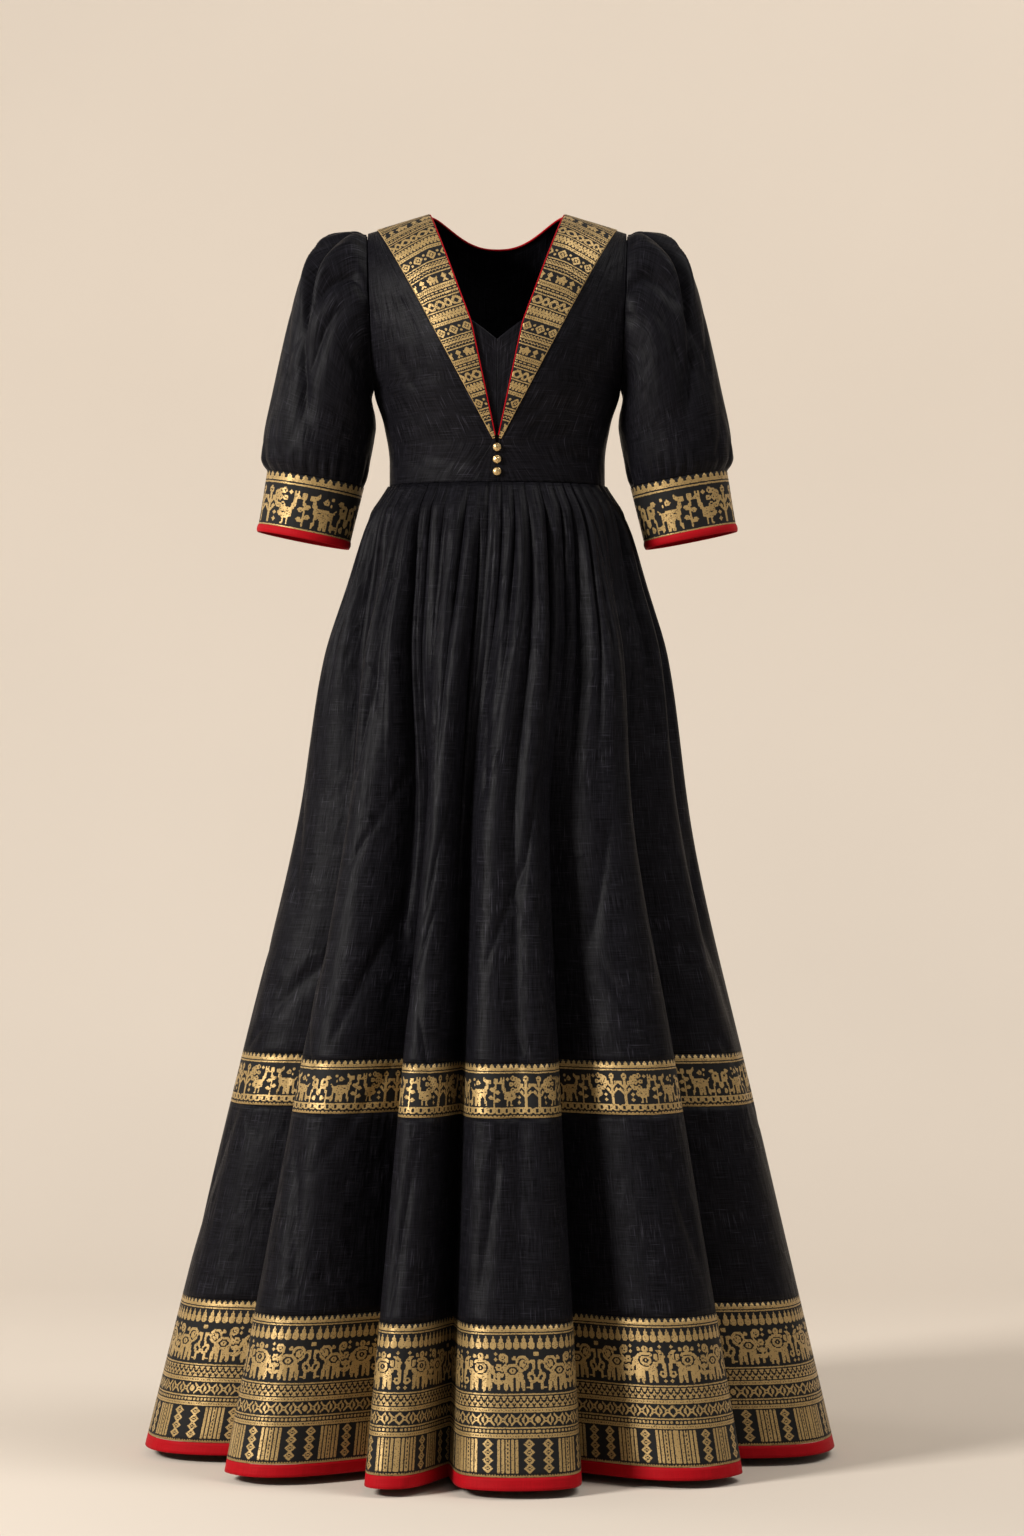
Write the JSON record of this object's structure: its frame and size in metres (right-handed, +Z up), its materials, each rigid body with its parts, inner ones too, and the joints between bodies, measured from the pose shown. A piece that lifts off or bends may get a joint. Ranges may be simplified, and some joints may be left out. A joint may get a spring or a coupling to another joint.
{
  "type": "anarkali gown",
  "caption": "Floor-length black anarkali gown with a brocade-banded V neck, puff sleeves in deep cuffs, a pleated flared skirt and gold borders edged in red, as worn.",
  "frame": {"origin": "halfway between the two neck points, on the line of the shoulder seams, where the wearer's shoulders hold the gown up", "axes": "+Z up along the wearer's back, -Y the way the front faces, +X to the wearer's left"},
  "size_m": [0.8375, 0.7936, 1.4918],
  "materials": {
    "black_cloth": "semi-matte slubbed handloom cloth",
    "brocade": "gold thread figures woven on black",
    "red_piping": "matte woven piping",
    "gold_metal": "polished"
  },
  "bodies": {
    "root": {"front_bodice_right": "black_cloth", "front_bodice_left": "black_cloth", "back_bodice": "black_cloth", "neck_inset_right": "black_cloth", "neck_inset_left": "black_cloth", "sleeve_right": "black_cloth", "sleeve_left": "black_cloth", "skirt_front": "black_cloth", "skirt_back": "black_cloth", "lower_skirt_front": "black_cloth", "lower_skirt_back": "black_cloth", "neck_band_right": "brocade", "neck_band_left": "brocade", "cuff_right": "brocade", "cuff_left": "brocade", "mid_border_front": "brocade", "mid_border_back": "brocade", "hem_border_front": "brocade", "hem_border_back": "brocade", "neck_piping_right": "red_piping", "neck_piping_left": "red_piping", "neck_piping_back": "red_piping", "cuff_piping_right": "red_piping", "cuff_piping_left": "red_piping", "hem_piping_front": "red_piping", "hem_piping_back": "red_piping", "button_1": "gold_metal", "button_2": "gold_metal", "button_3": "gold_metal"}
  },
  "joints": []
}
